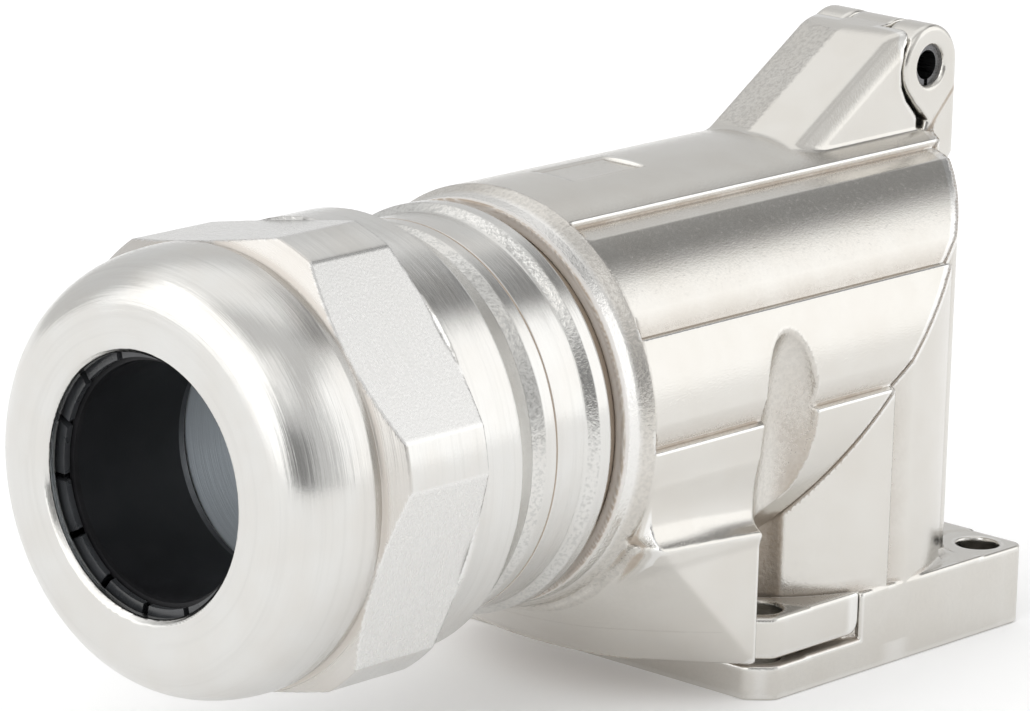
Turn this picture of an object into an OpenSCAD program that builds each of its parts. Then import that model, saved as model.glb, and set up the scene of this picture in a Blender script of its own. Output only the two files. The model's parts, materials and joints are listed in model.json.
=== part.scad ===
// Hinged right-angle flange housing with a cable gland, in millimetres.
// The square flange lies on z = 0 and is centred on the origin. The column rises along +Z,
// and the gland points along -Y at axis_h. Forward distances d run along -Y from the origin.

/* [Flange] */
// Side of the square flange
flange_side = 30; // [29.6:0.1:31]
// Thickness of the flange
flange_t = 6; // [5.6:0.1:6.4]
// Height of the flange's lowered front part
step_t = 2.6; // [2.2:0.1:2.8]
// Where the lowered front part begins, measured forward from the column axis
step_d = 4.1; // [3.5:0.1:5]
// Distance between neighbouring screw holes
hole_pitch = 25; // [24.6:0.1:25.2]
// Radius of the screw holes
hole_r = 1.6; // [1.5:0.05:1.75]
// Size of the chamfers on the flange's front corners
front_chamfer = 1.6; // [1:0.1:2]
// Radius of the flange's back corners
back_round = 1; // [0.5:0.1:1.5]

/* [Housing] */
// Outer radius of the column and the tube
tube_r = 15; // [14.8:0.05:15]
// Radius of the passage through the column and the tube
passage_r = 11; // [10:0.1:11.2]
// Height of the gland axis above the flange's bottom face
axis_h = 21.8; // [21:0.1:23]
// Forward distance at which the tube's full radius ends
tube_front_d = 27.6; // [27:0.1:28]
// Forward distance of the tube's front face
mouth_d = 29.8; // [29.5:0.1:30]
// Clear space between the two housing halves on the 45 degree face
mitre_gap = 0.1; // [0.06:0.02:0.2]
// Depth of the long grooves in the housing's sides
groove_depth = 0.45; // [0.3:0.05:0.6]

/* [Hinge] */
// Distance of the hinge axis behind the column axis
pin_y = 14; // [13.8:0.1:14.2]
// Height of the hinge axis
pin_z = 40.5; // [40.3:0.1:40.8]
// Radius of the spring pin
pin_r = 1.5; // [1.3:0.05:1.6]
// Half of the hinge's whole width
hinge_half_w = 5; // [4.8:0.1:5.2]
// Half of the knuckle's width
knuckle_half_w = 1.9; // [1.7:0.1:2.1]
// Outer radius of the ears
ear_r = 3.05; // [2.9:0.05:3.1]
// Height of the hinge block's flat top
block_top_z = 43.3; // [43.2:0.1:43.6]

/* [Gland] */
// Width of the nut's hexagon across its flats
nut_af = 30.4; // [30:0.1:30.6]
// Radius at which the hexagon's corners are cut back
corner_r = 16.67; // [16.5:0.01:16.9]
// Radius of the nut's mouth
nut_mouth_r = 8.95; // [8.8:0.05:9.1]
// Radius of the round band behind the hexagon, at its front
band_r = 15.5; // [15.4:0.05:15.6]
// Forward distance of the nut's front face
nut_front_d = 61.7; // [61.6:0.1:61.9]
// Radius of the gland body's thread in the housing
body_thread_r = 12.5; // [12.4:0.05:12.5]
// Radius of the nut's thread
nut_thread_r = 13.2; // [13.1:0.05:13.2]
// Radius of the sealing insert's bore
seal_bore_r = 8.05; // [7.9:0.05:8.1]
// Number of fingers on the claw cage
finger_count = 14; // [12:1:16]

/* [Hidden] */
$fn = 96;
small_fn = 64;
eps = 0.01;
far = 60;
nickel = [0.80, 0.79, 0.77];
turned = [0.84, 0.83, 0.81];
black_plastic = [0.10, 0.10, 0.11];
black_rubber = [0.06, 0.06, 0.06];
steel = [0.55, 0.55, 0.57];

// Grooves: angle of the sharp wall from the side towards the top, and the side on which the slope lies
groove_angles = [[63.5, -1], [27, 1], [-3.6, 1]];
groove_slope = 8;
groove_reach = 1;

// Screw access: round reliefs over the holes, and a dished slot above each front hole
relief_r = 3.2;
relief_top_z = 10;
scoop_d = 12.75;
scoop_r = 2.95;
scoop_x = 15.55;
scoop_top_z = 24.4;

// Hinge clearances
knuckle_gap = 0.1;
knuckle_r = 3;
knuckle_space = 0.3;
ear_space_r = 3.5;
ear_side_gap = 0.3;
pin_clear = 0.05;
pin_fit = 0.01;
pin_sunk = 0.5;
pin_wall = 0.4;
pin_slot = 0.4;

// Hinge block: a slope with a low ridge in the middle and a steeper chamfer along each side
slope_foot = [-0.8, 36.8];
slope_angle = 32.5;
ridge_angle = 8.5;
side_chamfer_x = 4;
side_chamfer_angle = 55;
side_chamfer_drop = 0.5;

// Points [y, z] from the hinge axis: front edge of an ear, and the space around it
ear_front = [[0.1 - ear_r, 0], [-2.9, -0.6], [-2.4, -1.8], [-1, -3.3], [-0.2, -4.1]];
ear_space_front = [[-ear_space_r, 0], [-3.35, -1.2], [-2.8, -2.2], [-1.6, -3.45], [-0.75, -4.3]];
ear_space_back = [[-0.75, -9], [8, -9], [8, 6], [-0.5, 6]];
// Back of the ears, from where they leave the column up to the vertical back edge
ear_back = [[-3, -12], [1, -9.2], [ear_r, -6.9]];
boss_top = [[ear_r, -2.6], [0.4, -2.6], [0.4, -5.2]];
boss_root = [[ear_r, -3], [-9, -3], [-9, -20]];
// Knuckle: bottom of the web that joins it to the block, and the room for the boss behind the web
web_bottom = [[0, -5], [-5, -8]];
boss_space = [[0.1, -3.2], [0.1, -6], [3, -6], [3, -3.2]];
// Back of the hinge block, inside the housing
block_back = [[-2, -2], [1.5, -7], [-6, -10.5]];
block_root = [-3.8, 30];

// Leg and tab
tab_bottom_z = 3.1;
tab_top_z = 6.2;
tab_gap = 0.25;
leg_back_d = 15.7;
leg_top_z = 12.9;
leg_knee_d = 23.4;
leg_arc_r = 22.65;
leg_chamfer_dist = 20.3;
leg_skin = 0.5;
leg_inset = 0.04;
leg_rim = 0.6;
leg_join_top_z = 15;
// Points [d, z] of the leg's flat side, and the back of the leg's middle [half width, length, from z, height]
leg_side = [[leg_back_d, tab_bottom_z + 2], [leg_back_d, leg_top_z], [leg_knee_d, leg_top_z],
            [leg_knee_d + 2.8, leg_top_z + 0.75], [leg_knee_d + 1, leg_top_z]];
leg_middle = [12, 1, 8, 4];
column_clear = 0.2;

// Blank panel on top of the tube
panel_size = [3.8, 7.3];
panel_back_d = 14.5;
panel_depth = 0.25;

// Tube mouth: cast chamfer, lip and the counterbore for the O-ring
lip_start = [14.45, 28.5];
lip_r = 14.3;
mouth_ring_r = 14.5;
mouth_ring_l = 4;
rim_l = 0.5;
o_ring_seat = [13.7, 28.3];

// Seals: inner and outer radius of their grooves, and the depths
mitre_seal_r = [12.3, 13.5];
mitre_seal_depth = 0.8;
flange_seal_r = [12.3, 14.2];
flange_seal_depth = 1.3;
flange_seal_chamfer = 0.3;
seal_clear = 0.05;
o_ring_r = 13.05;
o_ring_section_r = 0.6;
o_ring_d = 29.05;

// Gland body: rings [radius, forward distance] from the housing's mouth to the nut
thread_clear = 0.05;
thread_chamfer = 0.6;
thread_end_d = 20;
body_bore_r = 8.6;
body_front_d = 53.9;
neck_groove_r = 13.4;
body_rings = [[neck_groove_r, 29.9], [neck_groove_r, 30.85], [14.1, 30.95], [14.45, 31.2], [14.45, 32.4],
              [13.9, 33.06], [13.9, 36.05], [13.78, 36.15], [13.9, 36.25], [13.9, 37.2], [13.3, 38.5]];
undercut_r = 12.6;
undercut_end_d = 40;
seat_r = 11.2;
seat_d = 49;

// Claw cage and sealing insert
cage_back_gap = 0.5;
cage_bore_r = 9.75;
finger_root_d = 54.4;
finger_tip_d = 60.4;
finger_tip_r = 9.5;
finger_gap_w = 0.5;
finger_slant = 12;
finger_lip_r = 8.45;
finger_lip_t = 0.45;
// Start of the slits between the fingers: distance behind the finger root, and radius
slit_start = [0.6, 7.5];
insert_front_d = 59.8;
insert_clear = 0.1;
insert_chamfer = 0.3;

// Dome nut: hexagon, dome shoulder [width, length], tapered band and the inner taper
hex_turn = 10.45;
hex_back_d = 45.9;
hex_front_d = 53.2;
dome_r = 15.3;
dome_start_d = 54.7;
shoulder = [3.7, 5.4];
shoulder_steps = 12;
nut_back = [14.17, 38.9];
band_back = [15.45, 41.34];
nut_thread_end_d = 54.3;
nut_taper = [[11.5, 55.2], [9.9, 60.75]];
mouth_chamfer = [0.4, 0.35];

// Turns local Z into the forward direction, with its zero on the column axis
module forward() {
    translate([0, 0, axis_h]) rotate([90, 0, 0]) children();
}

// A solid turned about the gland axis from points [radius, forward distance]
module turned_forward(points) {
    forward() rotate_extrude() polygon(points);
}

// A cylinder along X about the hinge axis, from one X position to another
module about_hinge(r, x0, x1) {
    translate([x0, pin_y, pin_z]) rotate([0, 90, 0]) cylinder(r = r, h = x1 - x0, $fn = small_fn);
}

// A slab in the YZ plane between two X positions, from points [y, z]
module side_slab(x0, x1, points) {
    translate([x0, 0, 0]) rotate([90, 0, 90]) linear_extrude(x1 - x0) polygon(points);
}

// Points given from the hinge axis
function from_hinge(points) = [for (p = points) [pin_y + p[0], pin_z + p[1]]];

// Everything above the 45 degree plane, moved up by offset along the plane's normal
module above_mitre(offset = 0) {
    translate([0, 0, axis_h]) rotate([45, 0, 0]) translate([-far, -80, offset]) cube([2 * far, 160, 2 * far]);
}

module below_mitre(offset = 0) {
    translate([0, 0, axis_h]) rotate([45, 0, 0])
        translate([-far, -80, offset - 2 * far]) cube([2 * far, 160, 2 * far]);
}

// Upright ring between two radii, standing on z = 0
module upright_ring(radii, h) {
    difference() {
        cylinder(r = radii[1], h = h);
        translate([0, 0, -1]) cylinder(r = radii[0], h = h + 2);
    }
}

// Points of one groove: a sharp wall at the angle and a long slope to one side
function on_circle(r, a) = [r * cos(a), r * sin(a)];
function groove_points(a, side) = [
    on_circle(tube_r + groove_reach, a),
    on_circle(tube_r - groove_depth, a),
    on_circle(tube_r + 0.02, a + side * groove_slope),
    on_circle(tube_r + groove_reach, a + side * groove_slope)
];

// Outline shared by the column and the tube: a circle with three grooves on each side
module housing_outline() {
    difference() {
        circle(r = tube_r, $fn = 180);
        for (g = groove_angles, m = [0, 1])
            mirror([m, 0]) polygon(groove_points(g[0], g[1]));
    }
}

module at_corners(ys = [-1, 1]) {
    for (sx = [-1, 1], sy = ys)
        translate([sx * hole_pitch / 2, sy * hole_pitch / 2, 0]) children();
}

module flange_outline() {
    half = flange_side / 2;
    polygon([[-half, 0], [-half, front_chamfer - half], [front_chamfer - half, -half],
             [half - front_chamfer, -half], [half, front_chamfer - half], [half, 0]]);
    translate([-half, -eps]) square([flange_side, half - back_round + eps]);
    translate([back_round - half, 0]) square([flange_side - 2 * back_round, half]);
    for (s = [-1, 1])
        translate([s * (half - back_round), half - back_round]) circle(r = back_round);
}

module flange() {
    difference() {
        linear_extrude(flange_t) flange_outline();
        translate([-flange_side, -step_d - flange_side, step_t])
            cube([2 * flange_side, flange_side, flange_t]);
    }
}

// Two ears, and the boss that carries them behind and below the knuckle
module ears() {
    inner_x = knuckle_half_w + knuckle_gap;
    for (s = [-1, 1]) {
        x0 = s > 0 ? inner_x : -hinge_half_w;
        x1 = s > 0 ? hinge_half_w : -inner_x;
        about_hinge(ear_r, x0, x1);
        side_slab(x0, x1, from_hinge(concat(ear_front, ear_back, [[ear_r, 0]])));
    }
    side_slab(-hinge_half_w, hinge_half_w, from_hinge(concat(ear_back, boss_top)));
}

module lower_housing() color(nickel) {
    inner_x = knuckle_half_w + knuckle_gap;
    difference() {
        union() {
            flange();
            intersection() {
                union() {
                    linear_extrude(axis_h + tube_r + 1) housing_outline();
                    // Root of the boss inside the column wall
                    side_slab(-hinge_half_w, hinge_half_w, from_hinge(concat(ear_back, boss_root)));
                }
                below_mitre(-mitre_gap / 2);
            }
            ears();
        }
        translate([0, 0, -1]) cylinder(r = passage_r, h = far);
        at_corners() translate([0, 0, -1]) cylinder(r = hole_r, h = flange_t + 2, $fn = small_fn);
        at_corners([1]) translate([0, 0, flange_t])
            cylinder(r = relief_r, h = relief_top_z - flange_t, $fn = small_fn);
        at_corners([-1]) translate([0, 0, step_t]) cylinder(r = relief_r, h = 20, $fn = small_fn);
        translate([0, 0, -eps]) upright_ring(flange_seal_r, flange_seal_depth + eps);
        intersection() {
            upright_ring(mitre_seal_r, far);
            above_mitre(-mitre_gap / 2 - mitre_seal_depth);
            below_mitre(1);
        }
        about_hinge(pin_r + pin_fit, -far, far);
        about_hinge(knuckle_r + knuckle_space, -inner_x, inner_x);
    }
}

// The hinge block on the upper half, from the foot of its slope to the space around the ears
module block() {
    slope_top_y = slope_foot[0] + (block_top_z - slope_foot[1]) / tan(slope_angle);
    back = from_hinge(block_back);
    difference() {
        side_slab(-hinge_half_w, hinge_half_w,
                  concat([block_root, [block_root[0], slope_foot[1]], [slope_top_y - 0.5, block_top_z],
                          [back[0][0], block_top_z]], back));
        for (s = [-1, 1]) {
            // The slope falls away to both sides of the ridge
            translate([0, slope_foot[0], slope_foot[1]])
                rotate([slope_angle, 0, 0]) rotate([0, s * ridge_angle, 0])
                    translate([s > 0 ? -1 : -19, -10, 0]) cube([20, 40, 10]);
            translate([s * side_chamfer_x, slope_foot[0], slope_foot[1] - side_chamfer_drop])
                rotate([slope_angle, 0, 0]) rotate([0, s * side_chamfer_angle, 0])
                    translate([s > 0 ? 0 : -20, -10, 0]) cube([20, 40, 10]);
        }
    }
}

// Room around the ears, and for the boss behind the knuckle, in the upper half
module ear_space() {
    for (s = [-1, 1]) {
        x0 = s > 0 ? knuckle_half_w : -hinge_half_w - ear_side_gap;
        x1 = s > 0 ? hinge_half_w + ear_side_gap : -knuckle_half_w;
        about_hinge(ear_space_r, x0, x1);
        side_slab(x0, x1, from_hinge(concat(ear_space_front, ear_space_back)));
    }
    side_slab(-knuckle_half_w - eps, knuckle_half_w + eps, from_hinge(boss_space));
}

module knuckle() {
    about_hinge(knuckle_r, -knuckle_half_w, knuckle_half_w);
    web_top = block_top_z - pin_z;
    side_slab(-knuckle_half_w, knuckle_half_w,
              from_hinge(concat([[web_bottom[1][0], web_top], [web_bottom[0][0], web_top]], web_bottom)));
}

// Plan of the leg's foot: an arc in front with a slanted corner on each side
module foot_outline(back_d, inset = 0) {
    half = tube_r - inset;
    dist = leg_chamfer_dist - inset;
    intersection() {
        circle(r = leg_arc_r - inset);
        translate([-half, -30]) square([2 * half, 30 - back_d]);
        rotate(45) translate([-dist, -dist]) square(2 * dist);
    }
}

// The leg flares from the foot up to the lower half of the tube's rim, just inside the tab and the tube
module leg() {
    half = tube_r - leg_inset;
    hull() {
        translate([0, 0, tab_bottom_z + leg_inset])
            linear_extrude(leg_skin) foot_outline(leg_back_d, leg_inset);
        for (s = [-1, 1])
            side_slab(s > 0 ? half - leg_skin : -half, s > 0 ? half : leg_skin - half,
                      [for (p = leg_side) [-p[0], p[1]]]);
        intersection() {
            forward() translate([0, 0, tube_front_d - leg_skin - leg_inset])
                cylinder(r = tube_r + leg_rim, h = leg_skin);
            translate([-half, -30, 0]) cube([2 * half, 10, leg_join_top_z]);
        }
        translate([-leg_middle[0], -leg_back_d - leg_middle[1], leg_middle[2]])
            cube([2 * leg_middle[0], leg_middle[1], leg_middle[3]]);
    }
}

module tab() {
    translate([0, 0, tab_bottom_z]) linear_extrude(tab_top_z - tab_bottom_z) foot_outline(step_d + tab_gap);
}

// Dished slot that lets a screwdriver reach the front screw
module scoops() {
    for (s = [-1, 1]) {
        translate([s * scoop_x, -scoop_d, tab_top_z])
            cylinder(r = scoop_r, h = scoop_top_z - tab_top_z, $fn = small_fn);
        translate([s * scoop_x, -scoop_d, scoop_top_z]) sphere(r = scoop_r, $fn = small_fn);
    }
}

// Outer end of the tube: the cast chamfer and the lip around the mouth
module mouth_ring() {
    turned_forward([[0, tube_front_d - mouth_ring_l], [mouth_ring_r, tube_front_d - mouth_ring_l],
                    [mouth_ring_r, tube_front_d - rim_l], [tube_r, tube_front_d - rim_l],
                    [tube_r, tube_front_d],
                    lip_start, [lip_r, mouth_d], [0, mouth_d]]);
}

module upper_housing() color(nickel) {
    difference() {
        union() {
            intersection() {
                union() {
                    forward() translate([0, 0, -20]) linear_extrude(tube_front_d + 20) housing_outline();
                    block();
                    knuckle();
                }
                above_mitre(mitre_gap / 2);
            }
            mouth_ring();
            leg();
            tab();
        }
        intersection() {
            forward() translate([0, 0, -30]) cylinder(r = passage_r, h = 80);
            union() {
                above_mitre(-1);
                translate([-20, -40, 0]) cube([40, 22, far]);
            }
        }
        forward() translate([0, 0, thread_end_d - 1]) cylinder(r = body_thread_r, h = 20);
        turned_forward([[0, o_ring_seat[1]], o_ring_seat, [o_ring_seat[0], mouth_d + 1], [0, mouth_d + 1]]);
        // Clear space around the column for the leg and the tab
        intersection() {
            cylinder(r = tube_r + column_clear, h = 30);
            below_mitre(mitre_gap / 2);
        }
        ear_space();
        about_hinge(pin_r + pin_clear, -far, far);
        scoops();
        at_corners([-1]) translate([0, 0, -1])
            cylinder(r = hole_r, h = flange_t + 3, $fn = small_fn);
        translate([-panel_size[0] / 2, -panel_back_d - panel_size[1], axis_h + tube_r - panel_depth])
            cube([panel_size[0], panel_size[1], 2]);
    }
}

// Slotted spring pin, sunk a little into both ears
module hinge_pin() color(steel) {
    half = hinge_half_w - pin_sunk;
    difference() {
        about_hinge(pin_r, -half, half);
        about_hinge(pin_r - pin_wall, -far, far);
        translate([-far, pin_y - pin_slot / 2, pin_z - 3]) cube([2 * far, pin_slot, 3]);
    }
}

module mitre_seal() color(black_rubber) {
    intersection() {
        upright_ring([mitre_seal_r[0] + seal_clear, mitre_seal_r[1] - seal_clear], far);
        above_mitre(-mitre_gap / 2 - mitre_seal_depth + seal_clear);
        below_mitre(0);
    }
}

module flange_seal() color(black_rubber) {
    inner = flange_seal_r[0] + seal_clear;
    outer = flange_seal_r[1] - seal_clear;
    top = flange_seal_depth - seal_clear;
    rotate_extrude()
        polygon([[inner, flange_seal_chamfer], [inner + flange_seal_chamfer, 0.02],
                 [outer - flange_seal_chamfer, 0.02], [outer, flange_seal_chamfer],
                 [outer, top], [inner, top]]);
}

// Turned body: housing thread, collar rings, nut thread and the seat for the cage
module gland_body() color(turned) {
    housing_thread_r = body_thread_r - thread_clear;
    nut_side_r = nut_thread_r - thread_clear;
    turned_forward(concat(
        [[body_bore_r, thread_end_d], [housing_thread_r - thread_chamfer, thread_end_d],
         [housing_thread_r, thread_end_d + thread_chamfer], [housing_thread_r, body_rings[0][1]]],
        body_rings,
        [[undercut_r, 38.5], [undercut_r, undercut_end_d], [nut_side_r, undercut_end_d + 0.4],
         [nut_side_r, body_front_d - thread_chamfer], [nut_side_r - thread_chamfer, body_front_d],
         [seat_r, body_front_d], [seat_r, seat_d], [body_bore_r, seat_d]]));
}

module gland_o_ring() color(black_rubber) {
    forward() translate([0, 0, o_ring_d]) rotate_extrude()
        translate([o_ring_r, 0]) circle(r = o_ring_section_r, $fn = 32);
}

// Plastic cage: a sleeve in the body's seat and slanted fingers that lean inwards
module claw_cage() color(black_plastic) {
    sleeve_r = seat_r - insert_clear;
    back_d = seat_d + cage_back_gap;
    lip_d = insert_front_d + insert_clear;
    difference() {
        turned_forward([[cage_bore_r, back_d], [sleeve_r, back_d], [sleeve_r, finger_root_d],
                        [sleeve_r - 0.2, finger_root_d + 1.2], [finger_tip_r, finger_tip_d],
                        [finger_lip_r, finger_tip_d], [finger_lip_r, lip_d],
                        [finger_lip_r + finger_lip_t, lip_d],
                        [cage_bore_r, finger_root_d]]);
        for (i = [0 : finger_count - 1])
            forward() rotate(i * 360 / finger_count) translate([0, 0, finger_root_d - slit_start[0]])
                rotate([-finger_slant, 0, 0]) translate([slit_start[1], -finger_gap_w / 2, 0])
                    cube([6, finger_gap_w, 10]);
    }
}

module sealing_insert() color(black_rubber) {
    outer_r = cage_bore_r - insert_clear;
    back_d = seat_d + cage_back_gap - 0.05;
    turned_forward([[seal_bore_r + 0.2, back_d], [outer_r, back_d], [outer_r, finger_root_d - 0.2],
                    [finger_lip_r + insert_chamfer, insert_front_d - 0.1],
                    [finger_lip_r + 0.15, insert_front_d],
                    [seal_bore_r + 0.1, insert_front_d], [seal_bore_r, insert_front_d - insert_chamfer],
                    [seal_bore_r, back_d + 0.7]]);
}

// Hexagon whose corners keep a narrow strip of the turned blank
module hex_outline() {
    rotate(hex_turn) intersection() {
        circle(r = nut_af / sqrt(3), $fn = 6);
        circle(r = corner_r, $fn = 180);
    }
}

// The round dome in front of the hexagon, as a quarter ellipse of shoulder's size
module dome() {
    face_r = dome_r - shoulder[0];
    arc = [for (i = [0 : shoulder_steps])
              [face_r + shoulder[0] * cos(90 * i / shoulder_steps),
               nut_front_d - shoulder[1] * (1 - sin(90 * i / shoulder_steps))]];
    turned_forward(concat([[0, hex_back_d], [dome_r, hex_back_d]], arc, [[0, nut_front_d]]));
}

module dome_nut() color(turned) {
    difference() {
        union() {
            intersection() {
                forward() translate([0, 0, hex_back_d]) linear_extrude(12) hex_outline();
                turned_forward([[0, hex_back_d - 1], [18, hex_back_d - 1], [18, hex_front_d - 0.8],
                                [corner_r, hex_front_d], [dome_r, dome_start_d], [0, dome_start_d]]);
            }
            turned_forward([[0, nut_back[1]], nut_back, band_back, [band_r, hex_back_d], [0, hex_back_d]]);
            dome();
        }
        forward() translate([0, 0, 30]) cylinder(r = nut_mouth_r, h = 40);
        turned_forward([[0, nut_front_d - mouth_chamfer[1]], [nut_mouth_r, nut_front_d - mouth_chamfer[1]],
                        [nut_mouth_r + mouth_chamfer[0], nut_front_d + eps], [0, nut_front_d + eps]]);
        // Thread, and the taper that presses the fingers inwards
        turned_forward(concat([[0, nut_back[1] - 1], [nut_thread_r, nut_back[1] - 1],
                               [nut_thread_r, nut_thread_end_d]],
                              nut_taper, [[0, nut_taper[1][1]]]));
    }
}

lower_housing();
upper_housing();
hinge_pin();
mitre_seal();
flange_seal();
gland_body();
gland_o_ring();
claw_cage();
sealing_insert();
dome_nut();
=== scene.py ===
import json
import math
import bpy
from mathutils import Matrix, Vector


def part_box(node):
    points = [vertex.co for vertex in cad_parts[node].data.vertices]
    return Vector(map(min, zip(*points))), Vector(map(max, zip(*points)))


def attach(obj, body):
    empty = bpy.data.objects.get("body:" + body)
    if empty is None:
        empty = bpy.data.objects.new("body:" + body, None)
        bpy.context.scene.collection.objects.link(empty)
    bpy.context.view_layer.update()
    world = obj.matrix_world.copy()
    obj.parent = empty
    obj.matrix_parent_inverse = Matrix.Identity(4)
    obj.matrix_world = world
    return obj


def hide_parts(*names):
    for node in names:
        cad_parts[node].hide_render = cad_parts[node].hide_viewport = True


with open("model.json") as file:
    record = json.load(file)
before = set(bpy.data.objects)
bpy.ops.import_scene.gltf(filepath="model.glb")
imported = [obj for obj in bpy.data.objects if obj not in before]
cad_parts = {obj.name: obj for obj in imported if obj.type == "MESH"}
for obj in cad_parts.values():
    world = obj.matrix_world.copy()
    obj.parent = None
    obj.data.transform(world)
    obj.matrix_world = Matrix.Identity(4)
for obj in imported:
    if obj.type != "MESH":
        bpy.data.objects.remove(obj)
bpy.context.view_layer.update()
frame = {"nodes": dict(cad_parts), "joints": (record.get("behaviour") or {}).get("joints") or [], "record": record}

# Hinged right-angle flange housing with a cable gland. Shapes are worked out in millimetres in the
# frame of the CAD model: +Z up the column, forward distance d along -Y, the flange's bottom on z = 0.
from concurrent.futures import ThreadPoolExecutor

import bmesh
import bpy
import numpy as np
from mathutils import Matrix, Vector

MM = 0.001


# ---------------------------------------------------------------- sizes from the frame, in mm

def box_mm(node):
    low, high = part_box(node)
    return np.array(low) / MM, np.array(high) / MM


joints = {joint["name"]: joint for joint in frame["joints"]}
mounts = {mount["name"]: mount for mount in frame["record"]["mounts"]}
TUBE_R = float(box_mm("lower_housing")[1][0])
PIN_Y, PIN_Z = (v / MM for v in joints["housing_hinge"]["pos_m"][1:])
AXIS_H = joints["nut_turn"]["pos_m"][2] / MM
MOUTH_D = -float(box_mm("upper_housing")[0][1])
NUT_FRONT = -float(box_mm("dome_nut")[0][1])
NUT_BACK = -float(box_mm("dome_nut")[1][1])
BODY_BACK, BODY_FRONT = (-float(box_mm("gland_body")[i][1]) for i in (1, 0))
HOLE = mounts["flange_bolts"]["dims"]["spacing_x_mm"] / 2
HOLE_R = mounts["flange_bolts"]["dims"]["hole_r_mm"]
SQRT2 = math.sqrt(2)

MITRE_HALF_GAP = 0.05
PASSAGE_R = 11
# Each long groove has a steep wall at so many degrees up from the side. It is deepest there and runs out
# upwards (1) or downwards (-1) over GROOVE_SPAN degrees. The wall itself takes GROOVE_WALL degrees. On the
# column, up means towards the hinge.
GROOVES = ((63.5, -1), (27, 1), (-3.6, 1))
GROOVE_SPAN, GROOVE_WALL, GROOVE_DEPTH = 6.5, 1.1, 0.5


# ---------------------------------------------------------------- distance fields

def smooth_min(a, b, r):
    """Union of two distances, with a fillet of about radius r where they meet."""
    h = np.maximum(r - np.abs(a - b), 0)
    return np.minimum(a, b) - h * h / (4 * r)


def smooth_max(a, b, r):
    """Intersection of two distances, with edges rounded to about radius r."""
    return -smooth_min(-a, -b, r)


def carve(body, hole, r):
    """The body with a hole cut out, its edge rounded to about radius r."""
    return smooth_max(body, -hole, r)


def outline(u, v, points):
    """Distance from a closed outline of straight sides, negative inside."""
    points = np.asarray(points, np.float32)
    nearest = np.full(np.broadcast(u, v).shape, 1e9, np.float32)
    inside = np.zeros(nearest.shape, bool)
    for (au, av), (bu, bv) in zip(points, np.roll(points, -1, axis=0)):
        du, dv = bu - au, bv - av
        t = np.clip(((u - au) * du + (v - av) * dv) / (du * du + dv * dv), 0, 1)
        nearest = np.minimum(nearest, (u - au - t * du) ** 2 + (v - av - t * dv) ** 2)
        if dv:
            inside ^= ((av > v) != (bv > v)) & (u < du * (v - av) / dv + au)
    return np.where(inside, -1, 1) * np.sqrt(nearest)


NEAR = 3.0


def near_box(box, shape, x, y, z):
    """A shape's distance worked out only within NEAR of its box, and the distance from the box elsewhere."""
    gap = 0
    for value, a, b in zip((x, y, z), *box):
        gap = gap + np.maximum(np.maximum(a - value, value - b), 0) ** 2
    gap = np.sqrt(gap)
    close = gap < NEAR
    if close.any():
        gap[close] = shape(x[close], y[close], z[close])
    return gap


def mitre(y, z):
    """Height above the 45 degree face."""
    return (z - AXIS_H - y) / SQRT2


def groove_depth(side, up):
    """Depth of the long grooves at a place round the tube, the same on both sides."""
    angle = np.degrees(np.arctan2(up, np.abs(side)))
    depth = 0
    for wall, direction in GROOVES:
        t = (angle - wall) * direction
        slope = np.clip(1 - t / GROOVE_SPAN, 0, 1)
        step = np.clip(1 + t / GROOVE_WALL, 0, 1)
        depth = np.maximum(depth, np.minimum(slope, step * step * (3 - 2 * step)))
    return GROOVE_DEPTH * depth


def fade(value, start, end):
    """0 up to the start, 1 from the end on, and straight between them."""
    return np.clip((value - start) / (end - start), 0, 1)


def waves(angle, terms):
    """A fixed uneven line round a circle, from (count, height, phase) terms."""
    return sum(height * np.sin(count * angle + phase) for count, height, phase in terms)


def convex_planes(points):
    """Outward planes (normal, distance) of the points' convex hull, without repeats."""
    bm = bmesh.new()
    for p in points:
        bm.verts.new(p)
    bmesh.ops.convex_hull(bm, input=bm.verts)
    bm.normal_update()
    planes = {}
    for face in bm.faces:
        n = face.normal
        if n.length > 0.5:
            planes[tuple(round(c, 2) for c in n)] = (n.copy(), n.dot(face.verts[0].co))
    bm.free()
    return list(planes.values())


# ---------------------------------------------------------------- lower housing

FLANGE_T, STEP_T, STEP_Y = 6.0, 2.6, -4.1
BACK_CORNER, BACK_CORNER_R, FRONT_CORNER = 14, 1, 28.4
HOLE_TOP = 8
RELIEF_R, ARCH_Z = 3.2, 7.2
LOWER_PASSAGE_TOP = 33
# Seal grooves under the flange and in the 45 degree face: middle radius, half width, depth
FLANGE_GROOVE = (13.25, 0.95, 1.3)
MITRE_GROOVE = (12.9, 0.6, 0.85)
EAR_IN, EAR_OUT, EAR_R = 2.0, 5.0, 3.05
PIN_HOLE_R, PIN_CHAMFER, PIN_CHAMFER_LENGTH = 1.51, 0.2, 0.25
KNUCKLE_ROOM_R = 3.3
BOSS_Y = 17.05
# Outlines seen from the side, in (y, z)
EAR_BACK = [(11, 28.5), (15, 31.3), (BOSS_Y, 33.6)]
EAR_OUTLINE = [(11.05, 40.5), (11.1, 39.9), (11.6, 38.7), (12.3, 37.8), (13.0, 37.2), (13.8, 36.4)] \
    + EAR_BACK + [(BOSS_Y, 40.5)]
BOSS_OUTLINE = EAR_BACK + [(BOSS_Y, 37.9), (14.4, 37.9), (14.4, 35.3)]
ROOT_OUTLINE = [(5, 20)] + EAR_BACK + [(BOSS_Y, 37.5), (5, 37.5)]
EAR_BOX = (-5, 10.5, 28), (5, 17.1, 43.6)
ROOT_BOX = (-5, 4, 18), (5, 17.1, 38)
# A place counts as on a face when it is nearer than this
ON_FACE = 0.12


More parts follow.
